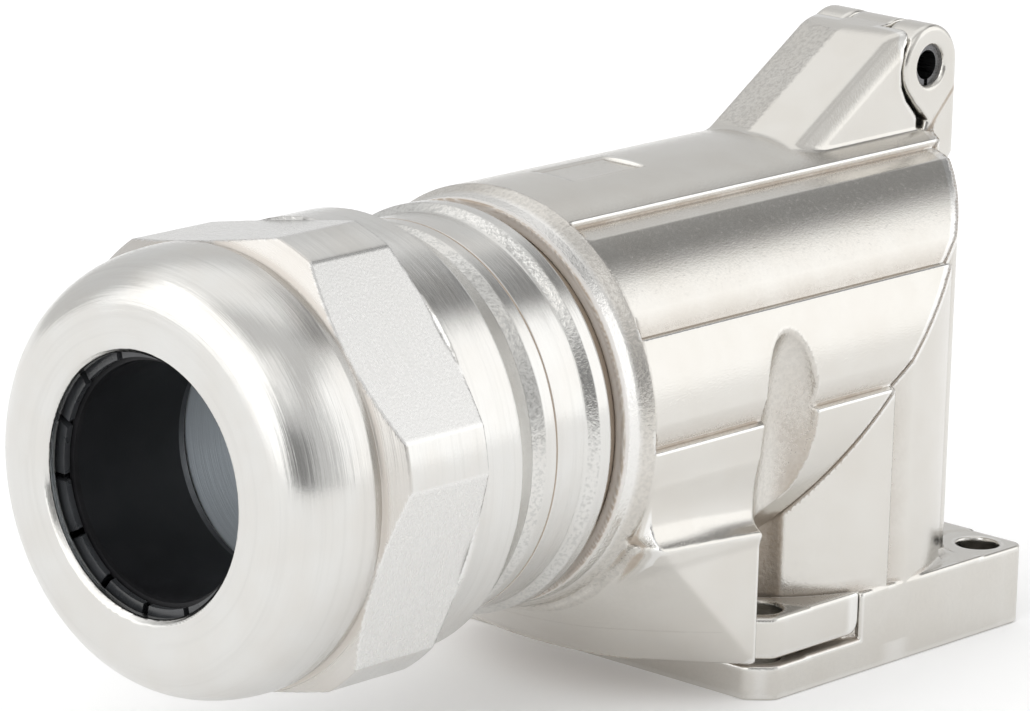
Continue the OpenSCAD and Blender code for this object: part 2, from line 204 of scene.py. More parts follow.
def ear_field(x, y, z):
    """The two ears with their eyes, and the boss that joins them behind."""
    eye = np.hypot(y - PIN_Y, z - PIN_Z) - EAR_R
    profile = np.minimum(eye, outline(y, z, EAR_OUTLINE))
    ears = smooth_max(profile, np.maximum(EAR_IN - np.abs(x), np.abs(x) - EAR_OUT), 0.5)
    boss = smooth_max(outline(y, z, BOSS_OUTLINE), np.abs(x) - EAR_OUT, 0.5)
    return np.minimum(ears, boss)


def flange_field(x, y, z):
    """The flange without its bottom face."""
    side = np.abs(x)
    plan = np.maximum(side - TUBE_R, np.abs(y) - TUBE_R)
    past_x, past_y = side - BACK_CORNER, y - BACK_CORNER
    back_corner = np.hypot(np.maximum(past_x, 0), np.maximum(past_y, 0)) - BACK_CORNER_R
    plan = np.where((past_x > 0) & (past_y > 0), back_corner, plan)
    plan = smooth_max(plan, (side - y - FRONT_CORNER) / SQRT2, 0.3)
    low = smooth_max(plan, z - STEP_T, 0.25)
    high = smooth_max(smooth_max(plan, z - FLANGE_T, 0.25), STEP_Y - y, 0.25)
    return np.minimum(low, high)


def root_field(x, y, z):
    return smooth_max(outline(y, z, ROOT_OUTLINE), np.abs(x) - EAR_OUT, 0.5)


def column_field(x, y, z):
    """The column with the root of the ears' boss, cut off at 45 degrees."""
    column = np.hypot(x, y) - TUBE_R + groove_depth(np.abs(x), y)
    root = near_box(ROOT_BOX, root_field, x, y, z)
    return smooth_max(smooth_min(column, root, 0.8), mitre(y, z) + MITRE_HALF_GAP, 0.1)


def lower_field(x, y, z):
    """The lower housing: column, flange and ears together, then what is cut out of them."""
    side, radius = np.abs(x), np.hypot(x, y)
    within = np.maximum(side, np.abs(y)) - TUBE_R
    body = smooth_min(column_field(x, y, z), flange_field(x, y, z), np.clip(-0.5 * within, 0.02, 0.7))
    body = np.where(z < FLANGE_T + 1, np.maximum(body, within), body)
    front, back = np.hypot(side - HOLE, y + HOLE), np.hypot(side - HOLE, y - HOLE)
    arch = np.sqrt(back ** 2 + np.maximum(z - ARCH_Z, 0) ** 2) - RELIEF_R
    body = carve(body, np.maximum(arch, FLANGE_T - z), 0.3)
    body = carve(body, np.maximum(front - RELIEF_R, STEP_T - z), 0.25)
    body = smooth_max(body, -z, 0.25)
    body = np.minimum(body, near_box(EAR_BOX, ear_field, x, y, z))
    body = carve(body, np.maximum(np.minimum(front, back) - HOLE_R, z - HOLE_TOP), 0.2)
    body = carve(body, np.maximum(radius - PASSAGE_R, z - LOWER_PASSAGE_TOP), 0.25)
    middle, half, depth = FLANGE_GROOVE
    body = carve(body, np.maximum(np.abs(radius - middle) - half, z - depth), 0.1)
    middle, half, depth = MITRE_GROOVE
    body = carve(body, np.maximum(np.abs(radius - middle) - half, np.abs(mitre(y, z)) - depth), 0.1)
    pin = np.hypot(y - PIN_Y, z - PIN_Z)
    chamfer = PIN_CHAMFER * np.clip((side - EAR_OUT + PIN_CHAMFER_LENGTH) / PIN_CHAMFER_LENGTH, 0, 1)
    body = carve(body, pin - PIN_HOLE_R - chamfer, 0.1)
    return carve(body, np.maximum(pin - KNUCKLE_ROOM_R, side - EAR_IN), 0.1)


def lower_shade_and_grain(x, y, z):
    """How much painted brown shade the lower housing gets (most round its front screws, on its parting face and at
    the column's foot, least in the grooves) and how grainy."""
    side, front = np.abs(x), np.hypot(np.abs(x) - HOLE, y + HOLE)
    on_column = (z > FLANGE_T) & (mitre(y, z) < -0.2)
    # Painted shade: the column's foot under the tab, the screw reliefs, the low step under the tab, the gap at the
    # parting face and the groove bottoms
    foot = 0.75 * fade(z, 7.0, 5.7) * fade(y, -2, -4) * on_column
    relief = 0.8 * fade(front, RELIEF_R + 0.15, RELIEF_R + 0.05) * (z > STEP_T)
    step = 0.6 * (np.abs(z - STEP_T) < 0.1) * (y < STEP_Y)
    parting = 0.8 * (np.abs(mitre(y, z) + MITRE_HALF_GAP) < ON_FACE)
    groove = 0.25 * groove_depth(side, y) / GROOVE_DEPTH * on_column
    grain = np.maximum(0.12 * (z < FLANGE_T), 0.6 * relief)
    return {"stain": np.maximum.reduce([foot, relief, step, parting, groove]), "grain": grain}


# ---------------------------------------------------------------- upper housing

# The hinge block: its ridge slopes down to the tube at the foot, tilts to both sides and is chamfered there
SLOPE_FOOT_Y, SLOPE_FOOT_Z = -0.8, 36.8
SLOPE, RIDGE_TILT, EDGE_TILT = (math.radians(a) for a in (32.5, 8.5, 55))
EDGE_DROP, EDGE_SIDE = 0.42, 4
BLOCK_TOP, BLOCK_BACK = 43.3, 12.6
KNUCKLE_R, KNUCKLE_HALF, KNUCKLE_HOLE_R = 3.0, 1.9, 1.55
WEB_OUTLINE = [(9, BLOCK_TOP - 1), (11.5, BLOCK_TOP - 1), (11.6, BLOCK_TOP), (14, BLOCK_TOP), (14, 35.5),
               (9, 32.5)]
EAR_SPACE = [(10.5, 40.5), (10.65, 39.3), (11.2, 38.3), (12.4, 37.05), (13.25, 36.2), (13.25, 31.5),
             (22, 31.5), (22, 46.5), (13.5, 46.5), (13.5, 43.96), (11.9, 43.3), (10.9, 42.1)]
EAR_SPACE_OUT = 5.35
BOSS_SPACE_Y, BOSS_SPACE_TOP, BOSS_SPACE_HALF = 14.1, 37.3, 1.95
# The leg and the tab at its foot
TAB_BOTTOM, TAB_TOP, TAB_END = 3.1, 6.2, -4.35
LEG_BACK, LEG_TOP, LEG_KNEE, LEG_CORNER = -15.7, 12.75, -23.4, (-26.2, 13.45)
LEG_FRONT, LEG_SWELL, LEG_SWELL_ANGLE, LEG_SHARPNESS = -27.45, 0.75, 0.6, 14.0
FOOT_R, FOOT_CHAMFER, FOOT_STEPS = 22.65, 20.3, 15
# The fillet between the leg and the tube: it grows over COVE_RISE above COVE_Z, and shrinks over COVE_RUN
# behind COVE_D
COVE_R, COVE_LEAST = 4.2, 0.08
COVE_Z, COVE_RISE = 9.5, 3
COVE_D, COVE_RUN = 27.3, 0.7
# The tube: cast up to an uneven rim, then turned down to the mouth. In the mouth are an O-ring seat and a lip
RIM_D, RIM_WAVES = 27.35, ((5, 0.06, 0.4), (13, 0.05, 1.9), (29, 0.03, 0.2), (61, 0.02, 1.1))
RIM_BORDER, GROOVE_RUN_OUT = 0.15, 0.5
TURNED_D, TURNED_R, MOUTH_R = 28.4, 14.43, 14.31
# The tube's bore is cut from PASSAGE_OVERLAP behind the 45 degree face, and once more from PASSAGE_D on
PASSAGE_OVERLAP, PASSAGE_D = 1, 18
THREAD_BORE_R, THREAD_BORE_D = 12.5, 19
SEAT_R, SEAT_D, LIP_BORE_R, LIP_BORE_D = 13.7, 28.3, 13.46, 29.5
COLUMN_ROOM = 0.2
SCOOP_X, SCOOP_Y, SCOOP_R, SCOOP_TAPER_Z, SCOOP_TAPER = 15.55, -12.75, 2.95, 20, 0.39
PANEL_HALF_WIDTH, PANEL_D, PANEL_HALF_LENGTH, PANEL_DEPTH = 1.9, 18.1, 3.65, 0.25
BLOCK_BOX = (-5, -1, 33), (5, 12.7, 43.3)
KNUCKLE_BOX = (-1.9, 9, 33), (1.9, 17.1, 43.5)
LEG_BOX = (-15, -27.5, 3.1), (15, -15.7, 15)
TAB_BOX = (-15, -22.7, 3.1), (15, -4.3, 6.2)
EAR_SPACE_BOX = (-5.4, 10, 31), (5.4, 22, 46.5)


def foot_points():
    """Front outline of the foot on one side: an arc, then a slanted corner to the side face."""
    end = math.acos(FOOT_CHAMFER / FOOT_R)
    angles = np.linspace(0, math.pi / 4 - end, FOOT_STEPS)
    points = [(FOOT_R * math.sin(a), -FOOT_R * math.cos(a)) for a in angles]
    corner_y = -(FOOT_CHAMFER * SQRT2 - TUBE_R)
    return points + [(TUBE_R, min(corner_y, LEG_BACK)), (TUBE_R, LEG_BACK)]


def leg_planes():
    """Planes of the leg's hull, from the foot's outline up to an arc that swells just outside the tube."""
    points = []
    for sign in (-1, 1):
        points += [(sign * x, y, TAB_BOTTOM) for x, y in foot_points()]
        points += [(sign * TUBE_R, y, z) for y, z in
                   ((LEG_BACK, TAB_BOTTOM + 2), (LEG_BACK, LEG_TOP), (LEG_KNEE, LEG_TOP), LEG_CORNER)]
        for a in np.radians(np.arange(-90, -29, 5)):
            radius = TUBE_R + LEG_SWELL * min(1, (a + math.pi / 2) / LEG_SWELL_ANGLE)
            points.append((sign * radius * math.cos(a), LEG_FRONT, AXIS_H + radius * math.sin(a)))
    points += [(x, LEG_BACK - 1, z) for x in (-12, 12) for z in (8, 12)]
    return [(n, d) for n, d in convex_planes(points) if n.x > -0.02]


LEG_PLANES = leg_planes()


def leg_field(x, y, z):
    """The leg's hull with its edges softened."""
    side = np.abs(x)
    total = 0
    for n, d in LEG_PLANES:
        total = total + np.exp(np.clip(LEG_SHARPNESS * (n.x * side + n.y * y + n.z * z - d), -60, 60))
    return np.log(total) / LEG_SHARPNESS


def tab_field(x, y, z):
    """The flat foot just above the flange's step."""
    side = np.abs(x)
    plan = smooth_max(np.hypot(x, y) - FOOT_R, (side - y) / SQRT2 - FOOT_CHAMFER, 0.6)
    plan = smooth_max(plan, side - TUBE_R, 0.3)
    end = smooth_max(y - TAB_END, TAB_BOTTOM - z, 1.1)
    return smooth_max(smooth_max(plan, end, 0.3), z - TAB_TOP, 0.28)


def block_field(x, y, z):
    """The sloped block that carries the hinge."""
    side = np.abs(x)
    rise = (z - SLOPE_FOOT_Z) * math.cos(SLOPE) - (y - SLOPE_FOOT_Y) * math.sin(SLOPE)
    ridge = rise * math.cos(RIDGE_TILT) + side * math.sin(RIDGE_TILT)
    edge = (rise + EDGE_DROP) * math.cos(EDGE_TILT) + (side - EDGE_SIDE) * math.sin(EDGE_TILT)
    block = smooth_max(ridge, edge, 0.3)
    block = smooth_max(block, side - EAR_OUT, 0.3)
    block = smooth_max(block, z - BLOCK_TOP, 0.7)
    return smooth_max(block, y - BLOCK_BACK, 0.3)


def knuckle_field(x, y, z):
    """The knuckle between the ears, and the web that joins it to the block."""
    eye = np.hypot(y - PIN_Y, z - PIN_Z) - KNUCKLE_R
    return smooth_max(np.minimum(eye, outline(y, z, WEB_OUTLINE)), np.abs(x) - KNUCKLE_HALF, 0.2)


def ear_space_field(x, y, z):
    """Room around the ears, and behind the knuckle for the boss."""
    side = np.abs(x)
    ears = np.maximum(outline(y, z, EAR_SPACE), np.maximum(KNUCKLE_HALF - side, side - EAR_SPACE_OUT))
    boss = np.maximum(np.maximum(BOSS_SPACE_Y - y, z - BOSS_SPACE_TOP), side - BOSS_SPACE_HALF)
    return np.minimum(ears, boss)


def tube_field(x, y, z):
    """The outside of the horizontal tube, back beyond the 45 degree face."""
    d, up = -y, z - AXIS_H
    rim = RIM_D + waves(np.arctan2(up, x), RIM_WAVES)
    run_out = np.clip((rim - RIM_BORDER - d) / GROOVE_RUN_OUT, 0, 1)
    radius = np.interp(d, (RIM_D, TURNED_D, MOUTH_D), (TUBE_R, TURNED_R, MOUTH_R)).astype(np.float32)
    radius = np.where(d < rim, TUBE_R, radius)
    tube = np.hypot(x, up) - radius + groove_depth(np.abs(x), up) * np.sqrt(run_out)
    return smooth_max(tube, d - MOUTH_D, 0.12)


def scoop_field(side, y, z):
    """The long hollow that clears a screwdriver above each front screw, with a slender domed top."""
    taper = SCOOP_TAPER * np.maximum(z - SCOOP_TAPER_Z, 0)
    return np.sqrt((side - SCOOP_X) ** 2 + (y - SCOOP_Y) ** 2 + taper ** 2) - SCOOP_R


def upper_field(x, y, z):
    """The upper housing: tube, block, knuckle, leg and tab together, then what is cut out of them."""
    side, d, up = np.abs(x), -y, z - AXIS_H
    tube = smooth_min(tube_field(x, y, z), near_box(BLOCK_BOX, block_field, x, y, z), 0.25)
    tube = np.minimum(tube, near_box(KNUCKLE_BOX, knuckle_field, x, y, z))
    tube = smooth_max(tube, MITRE_HALF_GAP - mitre(y, z), 0.1)
    grown = np.clip((z - COVE_Z) / COVE_RISE, COVE_LEAST, 1)
    cove = COVE_R * grown * np.clip((COVE_D - d) / COVE_RUN, COVE_LEAST, 1)
    body = smooth_min(tube, near_box(LEG_BOX, leg_field, x, y, z), cove)
    body = smooth_min(body, near_box(TAB_BOX, tab_field, x, y, z), 0.3)
    column = np.maximum(np.hypot(x, y) - TUBE_R - COLUMN_ROOM, mitre(y, z) - MITRE_HALF_GAP)
    body = carve(body, column, 0.2)
    body = carve(body, np.maximum(scoop_field(side, y, z), TAB_TOP - z), 0.2)
    radius = np.hypot(x, up)
    body = carve(body, smooth_max(radius - PASSAGE_R, -PASSAGE_OVERLAP - mitre(y, z), 0.1), 0.25)
    body = carve(body, np.maximum(radius - PASSAGE_R, PASSAGE_D - d), 0.2)
    body = carve(body, np.maximum(radius - THREAD_BORE_R, THREAD_BORE_D - d), 0.2)
    body = carve(body, np.maximum(radius - np.where(d < LIP_BORE_D, SEAT_R, LIP_BORE_R), SEAT_D - d), 0.1)
    body = carve(body, near_box(EAR_SPACE_BOX, ear_space_field, x, y, z), 0.2)
    body = carve(body, np.hypot(y - PIN_Y, z - PIN_Z) - KNUCKLE_HOLE_R, 0.12)
    body = carve(body, np.maximum(np.hypot(side - HOLE, y + HOLE) - HOLE_R, z - HOLE_TOP), 0.2)
    panel = np.maximum(side - PANEL_HALF_WIDTH, np.abs(d - PANEL_D) - PANEL_HALF_LENGTH)
    panel = np.maximum(panel, AXIS_H + TUBE_R - PANEL_DEPTH - z)
    return carve(body, panel, 0.12)


def upper_shade_and_grain(x, y, z):
    """How much painted brown shade the upper housing gets (most at its mouth, parting face and underside, less in
    the scoops and grooves and on the tab) and how grainy."""
    d, up, side = -y, z - AXIS_H, np.abs(x)
    radius = np.hypot(x, up)
    # Painted shade: the mouth's face, the gap at the parting face, the scoops towards the column, the underside,
    # the tab's top under the tube, the groove bottoms, and faintly the rim and the block's -X side
    mouth = 1.0 * (d > MOUTH_D - 0.5)
    parting = 0.8 * (np.abs(mitre(y, z) - MITRE_HALF_GAP) < ON_FACE) * (z > 14)
    in_scoop = (np.abs(scoop_field(side, y, z)) < ON_FACE) & (z > TAB_TOP + 0.2)
    scoop = in_scoop * (0.12 + 0.5 * fade(y, -12.2, -10.7) * fade(z, 24, 16))
    under = 0.7 * (z < TAB_BOTTOM + 0.05)
    tab = (np.abs(z - TAB_TOP) < 0.05) * (side < 14.7) * np.clip((y + 19) / 10, 0.1, 0.45)
    on_tube = (np.abs(radius - TUBE_R) < 0.7) & (d < RIM_D + 0.05)
    groove = 0.3 * groove_depth(side, up) / GROOVE_DEPTH * on_tube
    rim = (d > RIM_D - 0.1) & (radius > 14.2)
    block = (z > AXIS_H + TUBE_R + 0.1) & (z < BLOCK_TOP - 0.3) & (x < 0) & (y < 12)
    under_mouth = (d > 24) & (up < -8)
    return {"stain": np.maximum.reduce([mouth, parting, scoop, under, tab, groove, 0.1 * rim, 0.05 * block]),
            "grain": np.maximum.reduce([0.5 * rim, 0.6 * block, 0.35 * in_scoop, 0.1 * under_mouth])}


# ---------------------------------------------------------------- dome nut

HEX_TURN = math.radians(10.45)
FLAT_R, CORNER_R = 15.2, 16.67
FLATS_BACK, FLATS_FRONT = 45.35, 54.45
# Where the chamfer in front of the flats starts, and where it meets the dome
CONE_D, SEAM_D = 53.2, 54.3
DOME_R, DOME_D, FACE_R, DOME_POWER, DOME_STEPS = 15.34, 55.3, 11.63, 2 / 2.3, 16


def dome_points():
    """The dome's shoulder from its widest ring to the flat front face, a little squarer than an ellipse."""
    points = []
    for a in np.radians(np.linspace(0, 90, DOME_STEPS)):
        points.append((FACE_R + (DOME_R - FACE_R) * math.cos(a) ** DOME_POWER,
                       DOME_D + (NUT_FRONT - DOME_D) * math.sin(a) ** DOME_POWER))
    return points


# Outline of the nut's half section, in (radius, d)
NUT_OUTLINE = [(14.17, NUT_BACK), (15.45, 41.34), (15.45, FLATS_BACK), (CORNER_R, 45.9), (CORNER_R, 53.3),
               (15.12, 54.4)] + dome_points() + \
    [(9.25, NUT_FRONT), (8.93, NUT_FRONT - 0.36), (8.93, 60.8), (9.9, 60.75), (11.5, 55.2), (13.2, 54.3),
     (13.2, NUT_BACK)]


def nut_field(x, y, z):
    d, up = -y, z - AXIS_H
    radius, angle = np.hypot(x, up), np.arctan2(up, x)
    nut = outline(radius, d, NUT_OUTLINE)
    sector = (angle - HEX_TURN) % (math.pi / 3) - math.pi / 6
    flat = np.maximum(np.maximum(FLAT_R - radius * np.cos(sector), FLATS_BACK - d), d - FLATS_FRONT)
    return carve(nut, flat, 0.06)


# ---------------------------------------------------------------- skin of a field

THREADS, CHUNKS = 4, 8
# Side of a block of the coarse grid in cells, and how near the surface, in sides, its middle has to be
BLOCK, BLOCK_REACH = 8, 0.95
# How far from a place its slope and its hollow are measured
PROBE, HOLLOW_REACH = 0.03, 0.5
CROSSING_STEPS = 2
# Pull of a cell's point to the middle of its crossings, and how far it may leave the cell, in steps
CELL_PULL, CELL_SLACK = 0.03, 0.1
CAST_STEP, NUT_STEP = 0.18, 0.16


def in_parts(field, x, y, z):
    """The field at many points, worked out on several threads."""
    with ThreadPoolExecutor(THREADS) as pool:
        chunks = zip(*(np.array_split(v, CHUNKS) for v in (x, y, z)))
        return np.concatenate(list(pool.map(lambda c: field(*c), chunks))).astype(np.float32)


def sample(field, axes):
    """The field on a grid, exact near its surface. Blocks far from it only get the value of their middle."""
    counts = [math.ceil(len(a) / BLOCK) for a in axes]
    step = axes[0][1] - axes[0][0]
    middles = [a[0] + (np.arange(n) + 0.5) * BLOCK * step - step / 2 for a, n in zip(axes, counts)]
    coarse = in_parts(field, *(m.ravel().astype(np.float32) for m in np.meshgrid(*middles, indexing="ij")))
    coarse = coarse.reshape(counts)
    values = np.repeat(np.repeat(np.repeat(coarse, BLOCK, 0), BLOCK, 1), BLOCK, 2)
    active = np.argwhere(np.abs(coarse) < BLOCK * step * BLOCK_REACH)
    offsets = np.stack(np.meshgrid(*[np.arange(BLOCK)] * 3, indexing="ij"), -1).reshape(-1, 3)
    index = (active[:, None, :] * BLOCK + offsets[None]).reshape(-1, 3)
    places = [(axes[k][0] + index[:, k] * step).astype(np.float32) for k in range(3)]
    values[index[:, 0], index[:, 1], index[:, 2]] = in_parts(field, *places)
    return values[:len(axes[0]), :len(axes[1]), :len(axes[2])]


def gradient(field, points):
    """Unit slope of the field at each place."""
    columns = []
    for k in range(3):
        ahead, behind = points.copy(), points.copy()
        ahead[:, k] += PROBE
        behind[:, k] -= PROBE
        columns.append(in_parts(field, *ahead.T) - in_parts(field, *behind.T))
    slope = np.stack(columns, -1)
    return slope / np.maximum(np.linalg.norm(slope, axis=1), 1e-9)[:, None]


def edge_crossings(field, value, axis, origin, step):
    """Grid edges along one axis that cross the surface: start index, place, and which lead outwards."""
    near, far = [slice(None)] * 3, [slice(None)] * 3
    near[axis], far[axis] = slice(0, -1), slice(1, None)
    a, b = value[tuple(near)], value[tuple(far)]
    edge = np.argwhere((a < 0) != (b < 0))
    a, b = a[tuple(edge.T)], b[tuple(edge.T)]
    place = origin + edge * step
    low, high, t = np.zeros(len(a)), np.ones(len(a)), a / (a - b)
    for _ in range(CROSSING_STEPS):
        probe = place.copy()
        probe[:, axis] += t * step
        here = in_parts(field, *probe.T)
        same = (here < 0) == (a < 0)
        low, a = np.where(same, t, low), np.where(same, here, a)
        high, b = np.where(same, high, t), np.where(same, b, here)
        t = np.where(a == b, t, low + (high - low) * a / np.where(a == b, 1, a - b))
    place[:, axis] += np.clip(t, 0, 1) * step
    return edge, place, a < b


def skin(field, low, high, step):
    """Points, quads and normals of the surface where a field is zero, with its sharp edges kept."""
    axes = [np.arange(a - 1.5 * step, b + 2.5 * step, step) for a, b in zip(low, high)]
    origin = np.array([a[0] for a in axes])
    value = sample(field, axes)
    shape = tuple(n - 1 for n in value.shape)
    flat_cells, places, slopes, rings = [], [], [], []
    for axis in range(3):
        u, v = (axis + 1) % 3, (axis + 2) % 3
        edge, place, outwards = edge_crossings(field, value, axis, origin, step)
        inner = np.all([(edge[:, k] > 0) & (edge[:, k] < shape[k]) for k in (u, v)], axis=0)
        edge, place, outwards = edge[inner], place[inner], outwards[inner]
        corners = []
        for du, dv in ((-1, -1), (0, -1), (0, 0), (-1, 0)):
            cell = edge.copy()
            cell[:, u] += du
            cell[:, v] += dv
            corners.append(np.ravel_multi_index(cell.T, shape))
        ring = np.stack(corners, -1)
        ring[~outwards] = ring[~outwards, ::-1]
        flat_cells.append(np.stack(corners, 1).ravel())
        places.append(np.repeat(place, 4, 0))
        slopes.append(np.repeat(gradient(field, place), 4, 0))
        rings.append(ring)
    cells, number = np.unique(np.concatenate(flat_cells), return_inverse=True)
    place, slope = np.concatenate(places), np.concatenate(slopes)

    def gathered(values):
        return np.bincount(number, values, len(cells))

    count = gathered(np.ones(len(number)))
    middle = np.stack([gathered(place[:, k]) for k in range(3)], -1) / count[:, None]
    normal = np.stack([gathered(slope[:, k]) for k in range(3)], -1) / count[:, None]
    offset = (slope * (place - middle[number])).sum(1)
    matrix = np.empty((len(cells), 3, 3))
    for i in range(3):
        for j in range(3):
            matrix[:, i, j] = gathered(slope[:, i] * slope[:, j]) + (CELL_PULL * count if i == j else 0)
    right = np.stack([gathered(slope[:, k] * offset) for k in range(3)], -1)
    move = np.linalg.solve(matrix, right[..., None])[..., 0]
    index = np.stack(np.unravel_index(cells, shape), -1)
    lowest, highest = (origin + (index + k) * step for k in (-CELL_SLACK, 1 + CELL_SLACK))
    points = np.clip(middle + move, lowest, highest)
    length = np.linalg.norm(normal, axis=1)
    quads = np.searchsorted(cells, np.concatenate(rings))
    return points, quads, normal / np.maximum(length, 1e-9)[:, None]


def hollow(field, points, normals):
    """How far each place lies in a hollow (towards 1) or on an edge (towards -1)."""
    out = in_parts(field, *(points + normals * HOLLOW_REACH).T)
    back = in_parts(field, *(points - normals * HOLLOW_REACH).T)
    return np.clip(-((out + back) / HOLLOW_REACH), -1, 1)


def mesh_piece(name, points, faces, normals, attributes):
    """A new object from places in mm, with a number at each place for every attribute."""
    mesh = bpy.data.meshes.new(name)
    points = np.asarray(points, np.float32) * MM
    faces = np.asarray(faces, np.int32)
    corners = faces.shape[1]
    mesh.vertices.add(len(points))
    mesh.vertices.foreach_set("co", points.ravel())
    mesh.loops.add(faces.size)
    mesh.loops.foreach_set("vertex_index", faces.ravel())
    mesh.polygons.add(len(faces))
    mesh.polygons.foreach_set("loop_start", np.arange(len(faces), dtype=np.int32) * corners)
    mesh.polygons.foreach_set("use_smooth", np.ones(len(faces), bool))
    mesh.update(calc_edges=True)
    mesh.validate()
    if normals is not None:
        mesh.normals_split_custom_set_from_vertices(np.asarray(normals, np.float32))
    for key, values in attributes.items():
        layer = mesh.attributes.new(key, "FLOAT", "POINT")
        layer.data.foreach_set("value", np.asarray(values, np.float32))
    piece = bpy.data.objects.new(name, mesh)
    bpy.context.scene.collection.objects.link(piece)
    return piece


def cast_piece(name, field, marks, low, high):
    points, quads, normals = skin(field, low, high, CAST_STEP)
    return mesh_piece(name, points, quads, normals,
                      {"hollow": hollow(field, points, normals), **marks(*points.T)})


# ---------------------------------------------------------------- turned pieces

def softened(points, radius, steps):
    """A closed outline with each corner replaced by a short curve."""
    points = [np.array(p, float) for p in points]
    result = []
    for before, here, after in zip(points[-1:] + points[:-1], points, points[1:] + points[:1]):
        a, b = before - here, after - here
        cut = min(radius, np.linalg.norm(a) * 0.45, np.linalg.norm(b) * 0.45)
        start = here + a / np.linalg.norm(a) * cut
        end = here + b / np.linalg.norm(b) * cut
        for t in np.linspace(0, 1, steps + 1):
            result.append((1 - t) ** 2 * start + 2 * t * (1 - t) * here + t ** 2 * end)
    return result


def divided(points, longest):
    """A closed outline with its long sides cut into shorter ones."""
    result = []
    for here, after in zip(points, points[1:] + points[:1]):
        count = max(1, math.ceil(np.linalg.norm(np.subtract(after, here)) / longest))
        result += [np.array(here) + (np.array(after) - here) * i / count for i in range(count)]
    return np.array(result)


def turned_piece(name, points, turns, relief, rough, stain):
    """A ring turned about the gland axis from an outline of (radius, d), with the relief cut into it."""
    angle = np.linspace(0, 2 * math.pi, turns, endpoint=False)
    radius = np.repeat(points[:, :1], turns, 1)
    d = np.repeat(points[:, 1:], turns, 1)
    turn = np.repeat(angle[None], len(points), 0)
    radius = radius - relief(radius, d, turn)
    places = np.stack([radius * np.cos(turn), -d, AXIS_H + radius * np.sin(turn)], -1).reshape(-1, 3)
    i, j = np.meshgrid(np.arange(len(points)), np.arange(turns), indexing="ij")
    i2, j2 = (i + 1) % len(points), (j + 1) % turns
    faces = np.stack([i * turns + j, i * turns + j2, i2 * turns + j2, i2 * turns + j], -1).reshape(-1, 4)
    marks = {"rough": rough(radius, d).ravel(), "stain": stain(radius, d).ravel()}
    return mesh_piece(name, places, faces, None, marks)


# The collar's rings from the tube's mouth to the front thread, in (radius, d)
NECK_RINGS = [(13.4, 29.68), (13.4, 30.85), (14.1, 30.92), (14.16, 31.12), (14.36, 31.2), (14.45, 31.45),
              (14.45, 32.4), (13.94, 33.06), (13.9, 33.3), (13.9, 36.05), (13.84, 36.14), (13.9, 36.23),
              (13.9, 37.2), (13.32, 38.5)]
NECK_SEAM_D = 36.14
NECK_BORE_R, NECK_SEAT_R, NECK_SEAT_D = 8.6, 11.2, 49
BACK_THREAD_R, FRONT_THREAD_R, THREAD_CHAMFER = 12.45, 13.15, 0.6
THREAD_PITCH, THREAD_DEPTH, THREAD_RUN_OUT = 1.5, 0.8, 0.6
BACK_THREAD_D, FRONT_THREAD_D = 29.4, 40.3
NECK_TURNS, NECK_EDGE_R, NECK_LONGEST = 256, 0.06, 0.12


def neck_outline():
    outer = [(NECK_BORE_R, BODY_BACK), (BACK_THREAD_R - THREAD_CHAMFER, BODY_BACK),
             (BACK_THREAD_R, BODY_BACK + THREAD_CHAMFER), (BACK_THREAD_R, 29.68)] + NECK_RINGS
    outer += [(12.6, 38.55), (12.6, 40), (FRONT_THREAD_R, 40.4),
              (FRONT_THREAD_R, BODY_FRONT - THREAD_CHAMFER),
              (FRONT_THREAD_R - THREAD_CHAMFER, BODY_FRONT), (NECK_SEAT_R, BODY_FRONT),
              (NECK_SEAT_R, NECK_SEAT_D), (NECK_BORE_R, NECK_SEAT_D)]
    return divided(softened(outer, NECK_EDGE_R, 2), NECK_LONGEST)


def neck_relief(radius, d, angle):
    """The helical threads, which run out smoothly at the collar."""
    phase = (d / THREAD_PITCH + angle / (2 * math.pi)) % 1
    tooth = np.clip(np.abs(2 * phase - 1) * 1.3 - 0.15, 0, 1)
    front = (radius > 12.5) * fade(d, FRONT_THREAD_D, FRONT_THREAD_D + THREAD_RUN_OUT)
    back = (radius > 11.8) * (radius < 12.5) * fade(d, BACK_THREAD_D, BACK_THREAD_D - THREAD_RUN_OUT)
    return THREAD_DEPTH * tooth * np.maximum(front, back)


def neck_rough(radius, d):
    """Where the collar is left rough: the chamfer in front of its widest ring, and the cone at its front."""
    chamfer = (d > 32.35) & (d < 33.1) & (radius > 13)
    cone = (d > 37.2) & (d < 38.6)
    return np.where(chamfer | cone, 1.0, 0.0)


def neck_shade_and_seam(radius, d):
    """How much painted shade the body gets, with its dark seam line: most in the groove behind the collar and on
    the seam, less in the bore, where the colour is a painted bluish light.
    """
    groove = (radius < 14.05) & (radius > 12.9) & (d > 29.7) & (d < 31.0)
    seam = (np.abs(d - NECK_SEAM_D) < 0.05) & (radius > 13)
    bore = (radius < 12) & (d > 20.2) & (d < 49.2)
    return np.where(groove | seam, 1.0, np.where(bore, 0.8, 0.0))


# ---------------------------------------------------------------- materials

